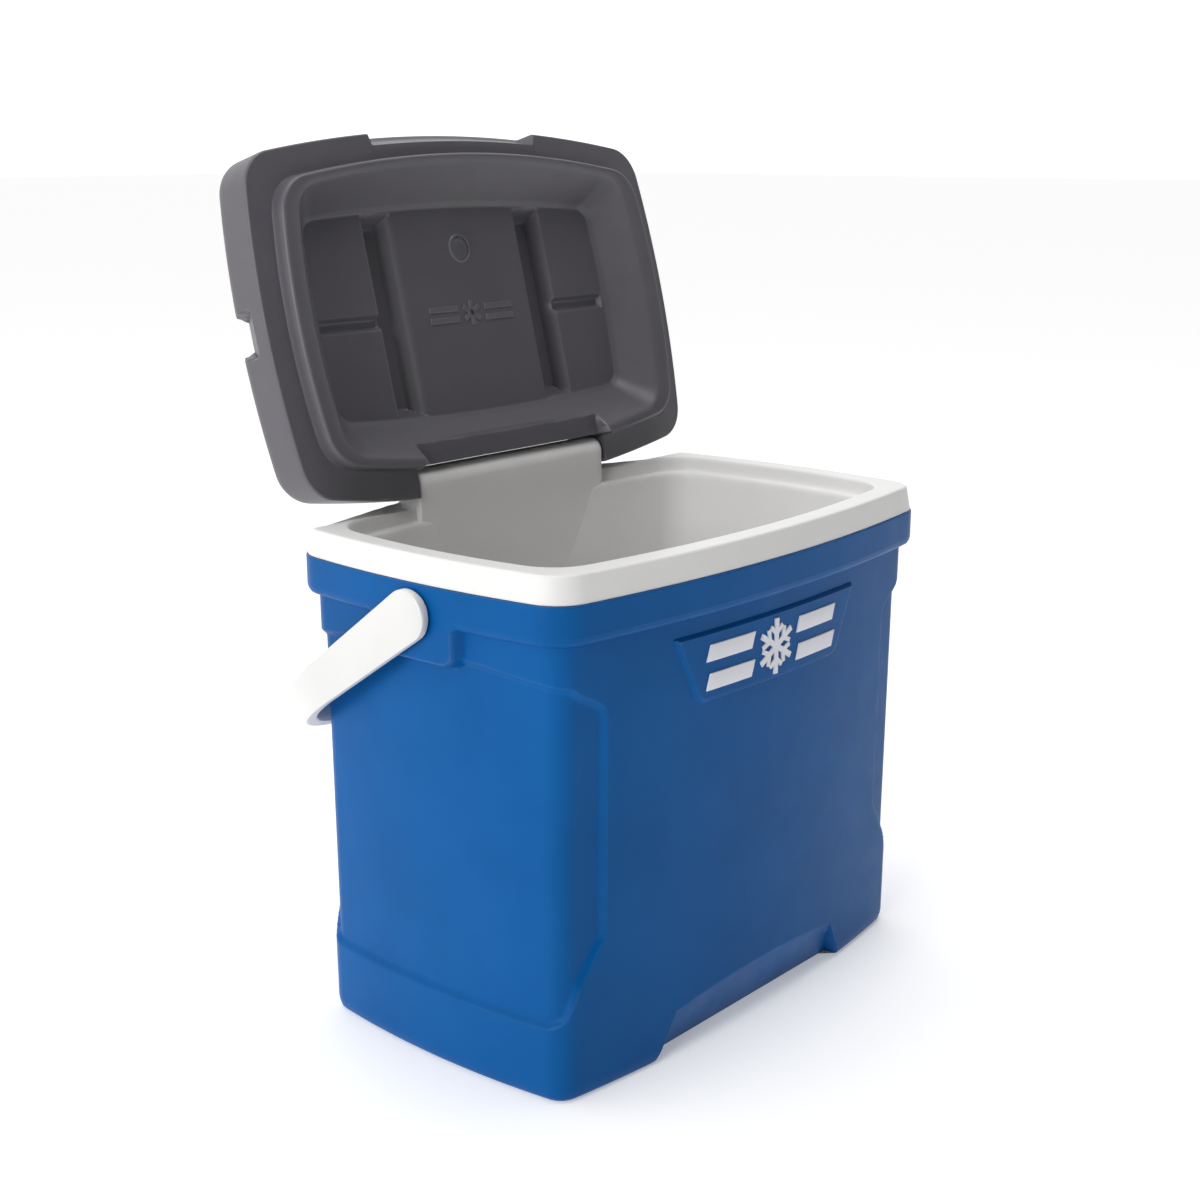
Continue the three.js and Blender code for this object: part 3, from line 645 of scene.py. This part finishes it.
def plug_collar():
    """Raised ring on the centre pad round the plug."""
    z = LID_Z + DISH_DEPTH
    section = [(0.2, 2.3), (0.2, -0.6), (0.6, -1), (1.3, -1), (2.8, 0.3), (2.8, 0.6)]
    return closed_loft([round_ring(PLUG_R + dr, z + dz) for dr, dz in section])


def lid_plan(shape, steps):
    """Plan whose columns stand at the lid's own x until past the hinge notch."""
    straight = NOTCH_HALF_X + 6
    reach = tangent_x(shape)
    xs = np.interp(steps * LID_TANGENT, [0, straight, LID_TANGENT], [0, straight, reach])
    return Plan(shape, xs / reach, end_steps=56)


def lid_shell():
    """Grey lid: outside, lip, dish, pads and channels, turned open."""
    pinned = (GRIP_HALF_X - 1.5, GRIP_HALF_X, NOTCH_HALF_X - 0.25, NOTCH_HALF_X + 0.25)
    steps = long_fractions(LID_TANGENT, pinned, dense=[(70, 114)], step=2, fine=1.3)
    plans = [lid_plan(shape, steps) for shape in (LID_PLAN, TUB, DISH_MOUTH, DISH_FLOOR)]
    rings = lid_outside(plans[0]) + lid_underside(*plans[1:])
    cols = len(rings[0])
    verts = np.concatenate([*rings, [[0, 0, LID_Z + LID_WALL + LID_ROUND + LID_CROWN]]])
    faces = loft_faces(len(rings), cols)
    faces += [(len(verts) - 1, i, (i + 1) % cols) for i in range(cols)]
    verts, faces = join_parts([(verts, faces), dish_floor(rings[-1]), lid_mark(), plug_collar()])
    return to_mesh("lid_moulding", turned(verts, HINGE_Y, HINGE_Z, OPEN_DEG), faces, "lid")


def round_ring(radius, z):
    """Circle about the fill plug's axis."""
    angles = np.linspace(0, 2 * math.pi, 64, endpoint=False)
    return np.stack([radius * np.cos(angles), PLUG_Y + radius * np.sin(angles), 0 * angles + z], axis=1)


def fill_plug():
    """Round plug with a rounded edge and a shallow dished face."""
    z = LID_Z + DISH_DEPTH
    section = [
        (0.01, 0.35), (3, 0.35), (5.4, 0.3), (6.4, 0.1), (7.2, -0.1), (7.9, -0.1), (8.5, 0.1),
        (8.8, 0.5), (8.8, 1.1), (0.01, 1.1),
    ]
    verts, faces = closed_loft([round_ring(r, z + dz) for r, dz in section])
    return to_mesh("plug_moulding", turned(verts, HINGE_Y, HINGE_Z, OPEN_DEG), faces, "lid")


# ---- bail handle, drawn level towards +Y from its pivot ----
def bail_path():
    """Stations along the bail as (x, y, outward normal x, normal y), from one hub to the other."""
    out_x = ARM_IN + ARM_T
    centre_x, centre_y = out_x - BAIL_CORNER, REACH - BAIL_CORNER
    hub = [(out_x, -HUB_R * math.cos(math.radians(a)), 1, 0) for a in (5, 10, 16, 23, 31, 40, 50, 60, 70, 80)]
    arm = hub + [(out_x, y, 1, 0) for y in np.linspace(0, centre_y, 24)]
    bend = []
    for deg in np.linspace(0, 90, 28)[1:]:
        c, s = math.cos(math.radians(deg)), math.sin(math.radians(deg))
        bend.append((centre_x + BAIL_CORNER * c, centre_y + BAIL_CORNER * s, c, s))
    half = arm + bend + [(x, REACH, 0, 1) for x in np.linspace(centre_x, 0, 16)[1:]]
    return half + [(-x, y, -nx, ny) for x, y, nx, ny in reversed(half[:-1])]


def bail_section(half, depth, hollow):
    """Closed section as (depth inside the outer face, across); hollow is how deep the channel is."""
    r = 1.4
    wall = min(3, half * 0.6)
    floor = depth - hollow
    outer = [(r, -half), (0.42, -half + 0.42), (0, -half + r), (0, half - r), (0.42, half - 0.42), (r, half)]
    right = [(depth - 0.6, half), (depth, half - 0.6), (depth, half - wall + 0.5), (depth - 0.5, half - wall)]
    left = [(d, -w) for d, w in reversed(right)]
    inner_half = half - wall
    channel = [
        (floor + 0.5, inner_half), (floor, inner_half - 0.5),
        (floor, 0.5 - inner_half), (floor + 0.5, -inner_half),
    ]
    return outer + right + channel + left


def bail_strap():
    """Strap from hub to hub, tapering along its arms and thicker across the grip."""
    rings = []
    for x, y, nx, ny in bail_path():
        taper = HUB_R + (END_HALF - HUB_R) * y / (REACH * 0.8)
        half = taper if y >= 0 else math.sqrt(HUB_R**2 - y * y)
        grip = np.clip((y - (REACH - BAIL_CORNER)) / BAIL_CORNER, 0, 1)
        depth = ARM_T + (GRIP_T - ARM_T) * grip
        hollow = (depth - BAIL_SKIN) * np.clip((y - HOLLOW_START) / 6, 0, 1)
        section = bail_section(half, depth, max(hollow, 0.55))
        rings.append(np.array([(x - d * nx, y - d * ny, w) for d, w in section]))
    return closed_loft(rings)


def bail_stud(side):
    """Round stud on the inside of the hub, which enters the boss."""
    root = ARM_IN + 0.8
    section = [
        (STUD_END, 0.01), (STUD_END, STUD_R - 0.5), (STUD_END + 0.5, STUD_R), (root, STUD_R), (root, 0.01),
    ]
    angles = np.linspace(0, 2 * math.pi, 48, endpoint=False)
    circle = np.stack([0 * angles, np.cos(angles), np.sin(angles)], axis=1)
    return closed_loft([circle * r + [side * x, 0, 0] for x, r in section])


def bail_handle():
    """White bail: strap and studs, hanging behind the chest."""
    verts, faces = join_parts([bail_strap(), bail_stud(1), bail_stud(-1)])
    verts[:, 1] += PIVOT_Y
    verts[:, 2] += PIVOT_Z
    return to_mesh("bail_moulding", turned(verts, PIVOT_Y, PIVOT_Z, HANG_DEG), faces, "bail", sharp=40)


# ---- materials ----
def noise(tree, place, scale, detail):
    made = tree.nodes.new("ShaderNodeTexNoise")
    made.inputs["Scale"].default_value = scale
    made.inputs["Detail"].default_value = detail
    tree.links.new(place.outputs["Object"], made.inputs["Vector"])
    return made.outputs["Fac"]


def mapped(tree, value, old, new):
    """Value moved from the old range to the new one."""
    made = tree.nodes.new("ShaderNodeMapRange")
    made.inputs["From Min"].default_value, made.inputs["From Max"].default_value = old
    made.inputs["To Min"].default_value, made.inputs["To Max"].default_value = new
    tree.links.new(value, made.inputs["Value"])
    return made.outputs["Result"]


def mixed(tree, factor, first, second):
    """Mix of two colours, each a tuple or another node's output."""
    made = tree.nodes.new("ShaderNodeMix")
    made.data_type = "RGBA"
    tree.links.new(factor, made.inputs["Factor"])
    for socket, value in ((made.inputs["A"], first), (made.inputs["B"], second)):
        if isinstance(value, tuple):
            socket.default_value = (*value, 1)
        else:
            tree.links.new(value, socket)
    return made.outputs["Result"]


def bumped(tree, height, strength, distance):
    """Bump node over a height, distance in metres."""
    made = tree.nodes.new("ShaderNodeBump")
    made.inputs["Strength"].default_value = strength
    made.inputs["Distance"].default_value = distance
    tree.links.new(height, made.inputs["Height"])
    return made


def skin_colour(tree, place, colour, mottle, edge_highlight):
    """Faintly mottled colour, with a painted highlight that makes sharp edges paler."""
    darker = tuple(c * (1 - mottle) for c in colour)
    lighter = tuple(min(1, c * (1 + mottle) + mottle * 0.02) for c in colour)
    body = mixed(tree, mapped(tree, noise(tree, place, 14, 4), (0.35, 0.65), (0, 1)), darker, lighter)
    geometry = tree.nodes.new("ShaderNodeNewGeometry")
    # Painted highlight: Pointiness mixes sharp convex edges towards a paler colour.
    edge_highlight_mask = mapped(tree, geometry.outputs["Pointiness"], (0.52, 0.62), (0, edge_highlight))
    pale = tuple(0.55 * c + 0.3 for c in colour)
    return mixed(tree, edge_highlight_mask, body, pale)


def moulded(name, colour, roughness, grain_scale, grain, mottle, edge_highlight, shine=0.22):
    """Moulded plastic: grained skin, slow waviness, faint mottling, painted edge highlights and uneven gloss.
    """
    mat = bpy.data.materials.new(name)
    mat.use_nodes = True
    tree = mat.node_tree
    shader = tree.nodes["Principled BSDF"]
    shader.inputs["IOR"].default_value = 1.49
    shader.inputs["Specular IOR Level"].default_value = shine
    place = tree.nodes.new("ShaderNodeTexCoord")
    colour_out = skin_colour(tree, place, colour, mottle, edge_highlight)
    tree.links.new(colour_out, shader.inputs["Base Color"])
    gloss = mapped(tree, noise(tree, place, 45, 3), (0.3, 0.7), (roughness - 0.04, roughness + 0.05))
    tree.links.new(gloss, shader.inputs["Roughness"])
    fine = bumped(tree, noise(tree, place, grain_scale, 2), grain, 0.0002)
    wave = bumped(tree, noise(tree, place, 30, 1), 0.12, 0.001)
    tree.links.new(fine.outputs["Normal"], wave.inputs["Normal"])
    tree.links.new(wave.outputs["Normal"], shader.inputs["Normal"])
    return mat


def dress(obj, material, node):
    """Gives a new piece its material and slot, and lets it stand for its CAD node."""
    obj.data.materials.clear()
    obj.data.materials.append(material)
    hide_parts(node)


# The seventh argument sets the strength of the painted edge highlight.
BLUE = moulded("blue_plastic", (0.0, 0.088, 0.30), 0.36, 1500, 0.10, 0.05, 0.3, shine=0.1)
WHITE = moulded("white_plastic", (0.78, 0.775, 0.765), 0.38, 1700, 0.08, 0.015, 0.05)
BAIL_WHITE = moulded("bail_plastic", (0.71, 0.705, 0.695), 0.45, 1300, 0.16, 0.02, 0.05)
GREY = moulded("grey_plastic", (0.092, 0.087, 0.101), 0.44, 1100, 0.22, 0.025, 0.3, shine=0.6)
BADGE_WHITE = moulded("badge_plastic", (0.80, 0.80, 0.86), 0.36, 1700, 0.06, 0.015, 0.05)
FOAM = moulded("foam", (0.80, 0.69, 0.40), 0.85, 700, 0.6, 0.08, 0.0)
NYLON = moulded("nylon_pin", (0.33, 0.36, 0.38), 0.5, 1500, 0.1, 0.03, 0.1)


def keep_node(name, material, bevel=None):
    """Dresses a CAD node whose shape is right, with rounded edges where asked."""
    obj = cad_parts[name]
    obj.data.materials.clear()
    obj.data.materials.append(material)
    if bevel:
        rounded = obj.modifiers.new("rounded", "BEVEL")
        rounded.width = bevel * MM
        rounded.segments = 2
        rounded.limit_method = "ANGLE"
        rounded.angle_limit = math.radians(40)


# ---- stage, lights and camera, in metres ----
WORLD_DIM = 0.02
WORLD_BRIGHT = 1.25
WORLD_FADE = (-0.55, 0.35)  # from the dim side to the bright side, in y of a unit direction
FLOOR_GLOW = 0.31
FLOOR_HALF = 30
LIGHT_TARGET = (0, 0, 0.3)
CAMERA_PLACE = (-1.0489, -0.8682, 0.6479)
CAMERA_AZIMUTH = -49.556
CAMERA_ELEVATION = 14.239
CAMERA_LENS = 54.24
CAMERA_SENSOR = 36


def stage():
    """Plain pale floor that glows a little, so that it stays pale far from the lights."""
    floor = bpy.data.meshes.new("floor")
    corners = [(FLOOR_HALF * x, FLOOR_HALF * y, 0) for x, y in ((-1, -1), (1, -1), (1, 1), (-1, 1))]
    floor.from_pydata(corners, [], [(0, 1, 2, 3)])
    obj = bpy.data.objects.new("floor", floor)
    bpy.context.scene.collection.objects.link(obj)
    mat = bpy.data.materials.new("pale_floor")
    mat.use_nodes = True
    shader = mat.node_tree.nodes["Principled BSDF"]
    shader.inputs["Base Color"].default_value = (0.9, 0.9, 0.9, 1)
    shader.inputs["Emission Color"].default_value = (1, 1, 1, 1)
    shader.inputs["Emission Strength"].default_value = FLOOR_GLOW
    shader.inputs["Roughness"].default_value = 0.9
    shader.inputs["Specular IOR Level"].default_value = 0.1
    floor.materials.append(mat)


def area_light(name, place, size, watts):
    """Soft rectangular light that faces the chest."""
    light = bpy.data.lights.new(name, "AREA")
    light.shape = "RECTANGLE"
    light.size, light.size_y = size
    light.energy = watts
    obj = bpy.data.objects.new(name, light)
    obj.location = place
    obj.rotation_euler = (Vector(LIGHT_TARGET) - Vector(place)).to_track_quat("-Z", "Y").to_euler()
    bpy.context.scene.collection.objects.link(obj)


def studio_world():
    """Bright studio behind and beside the chest, dim on the badge side."""
    world = bpy.data.worlds.new("studio")
    world.use_nodes = True
    nodes, links = world.node_tree.nodes, world.node_tree.links
    background = nodes["Background"]
    background.inputs["Color"].default_value = (1, 1, 1, 1)
    place = nodes.new("ShaderNodeTexCoord")
    split = nodes.new("ShaderNodeSeparateXYZ")
    links.new(place.outputs["Generated"], split.inputs["Vector"])
    fade = nodes.new("ShaderNodeMapRange")
    fade.interpolation_type = "SMOOTHSTEP"
    fade.inputs["From Min"].default_value, fade.inputs["From Max"].default_value = WORLD_FADE
    fade.inputs["To Min"].default_value = WORLD_DIM
    fade.inputs["To Max"].default_value = WORLD_BRIGHT
    links.new(split.outputs["Y"], fade.inputs["Value"])
    links.new(fade.outputs["Result"], background.inputs["Strength"])
    bpy.context.scene.world = world


def lights():
    area_light("key", (-6, -0.7, 2.3), (3, 2.4), 150)
    area_light("top", (0.05, -0.3, 2.3), (0.9, 0.9), 13)
    studio_world()
    bpy.context.scene.view_settings.view_transform = "Standard"


def camera():
    azimuth, elevation = math.radians(CAMERA_AZIMUTH), math.radians(CAMERA_ELEVATION)
    back = Vector((
        math.sin(azimuth) * math.cos(elevation),
        -math.cos(azimuth) * math.cos(elevation),
        math.sin(elevation),
    ))
    right = Vector((math.cos(azimuth), math.sin(azimuth), 0))
    up = back.cross(right)
    data = bpy.data.cameras.new("camera")
    data.lens = CAMERA_LENS
    data.sensor_width = CAMERA_SENSOR
    obj = bpy.data.objects.new("camera", data)
    turn = Matrix((right, up, back)).transposed().to_4x4()
    obj.matrix_world = Matrix.Translation(CAMERA_PLACE) @ turn
    bpy.context.scene.collection.objects.link(obj)
    bpy.context.scene.camera = obj


camera()
lights()
stage()
dress(outer_shell(), BLUE, "outer_shell")
dress(inner_liner(), WHITE, "inner_liner")
dress(lid_shell(), GREY, "lid_shell")
dress(fill_plug(), GREY, "lid_fill_plug")
dress(bail_handle(), BAIL_WHITE, "bail_handle")
for bar_name, bar_x, bar_z in (
    ("badge_bar_left_upper", -BAR_X, BADGE_Z + BAR_RISE),
    ("badge_bar_left_lower", -BAR_X, BADGE_Z - BAR_RISE),
    ("badge_bar_right_upper", BAR_X, BADGE_Z + BAR_RISE),
    ("badge_bar_right_lower", BAR_X, BADGE_Z - BAR_RISE),
):
    dress(badge_bar(bar_name, bar_x, bar_z), BADGE_WHITE, bar_name)
keep_node("badge_flake", BADGE_WHITE, bevel=0.35)
keep_node("body_foam", FOAM)
keep_node("lid_foam", FOAM)
keep_node("hinge_pin_right", NYLON, bevel=0.4)
keep_node("hinge_pin_left", NYLON, bevel=0.4)
